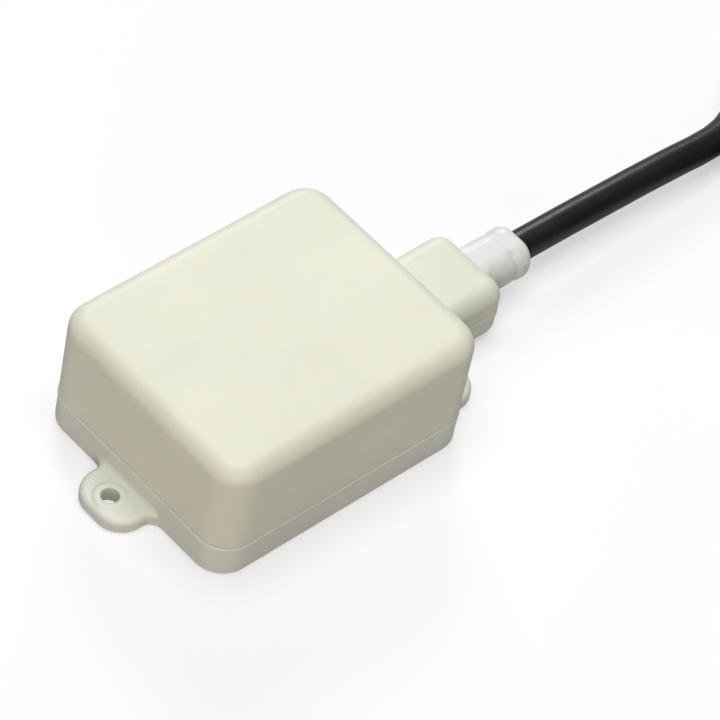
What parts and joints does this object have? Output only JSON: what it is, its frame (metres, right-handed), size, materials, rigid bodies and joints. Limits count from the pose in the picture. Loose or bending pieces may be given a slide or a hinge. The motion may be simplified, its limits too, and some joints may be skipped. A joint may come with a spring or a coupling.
{
  "type": "ultrasonic distance sensor",
  "caption": "Closed-face ultrasonic distance sensor: sealed rounded box housing with two screw ears and a moulded cable outlet, on a coiled lead with a screw-locking round plug.",
  "frame": {"origin": "centre of the housing outline on its flat mounting face", "axes": "+X from the housing towards the cable outlet, +Z out of the sensing face, +Y to the left of the cable seen from above"},
  "size_m": [0.2281, 0.0876, 0.027],
  "materials": {
    "housing": "satin, fine moulded grain",
    "relief": "satin",
    "sheath": "smooth extruded, semi-gloss",
    "plug_grip": "moulded matt",
    "insert": "moulded",
    "nickel": "nickel plated, turned and knurled",
    "gold": "gold plated",
    "screw": "zinc plated",
    "gasket": "moulded",
    "seal": "moulded",
    "board": "solder-mask gloss",
    "chip": "moulded epoxy",
    "can": "drawn",
    "ceramic": "fired ceramic",
    "foam": "cast, matt",
    "terminal": "pressed laminate",
    "lead": "insulated wire",
    "ferrite": "sintered",
    "winding": "enamelled copper",
    "capacitor": "sleeved can",
    "nylon": "natural nylon",
    "brown": "core insulation",
    "white": "core insulation",
    "blue": "core insulation",
    "black": "core insulation",
    "bead": "dipped epoxy"
  },
  "bodies": {
    "sensor": {"base_tray": "housing", "top_cover": "housing", "cover_gasket": "gasket", "cover_screws": "screw", "main_board": "board", "board_screws": "screw", "transmitter_can": "can", "transmitter_disc": "ceramic", "transmitter_pad": "foam", "transmitter_sleeve": "gasket", "transmitter_terminals": "terminal", "transmitter_leads": "lead", "receiver_can": "can", "receiver_disc": "ceramic", "receiver_pad": "foam", "receiver_sleeve": "gasket", "receiver_terminals": "terminal", "receiver_leads": "lead", "microcontroller": "chip", "receiver_amplifier": "chip", "driver_chip": "chip", "voltage_regulator": "chip", "transformer_core": "ferrite", "transformer_winding": "winding", "supply_capacitor": "capacitor", "pulse_capacitor": "capacitor", "crystal": "screw", "chip_components": "terminal", "thermistor": "bead", "header_shroud": "nylon", "header_pins": "gold", "wire_plug": "nylon", "core_brown": "brown", "core_white": "white", "core_blue": "blue", "core_black": "black", "strain_relief": "relief", "sheath_tie": "nylon", "cable": "sheath", "cable_coil": "sheath", "coil_tie": "nylon", "cable_tail": "sheath", "plug_body": "plug_grip", "plug_insert": "insert", "plug_pins": "gold"},
    "coupling": {"coupling_nut": "nickel", "plug_seal": "seal"}
  },
  "joints": [
    {"name": "coupling_spin", "type": "hinge", "parent": "sensor", "child": "coupling", "pos_m": [0.0846, -0.0561, 0.0073], "axis": [-1, 0, 0], "continuous": true}
  ]
}
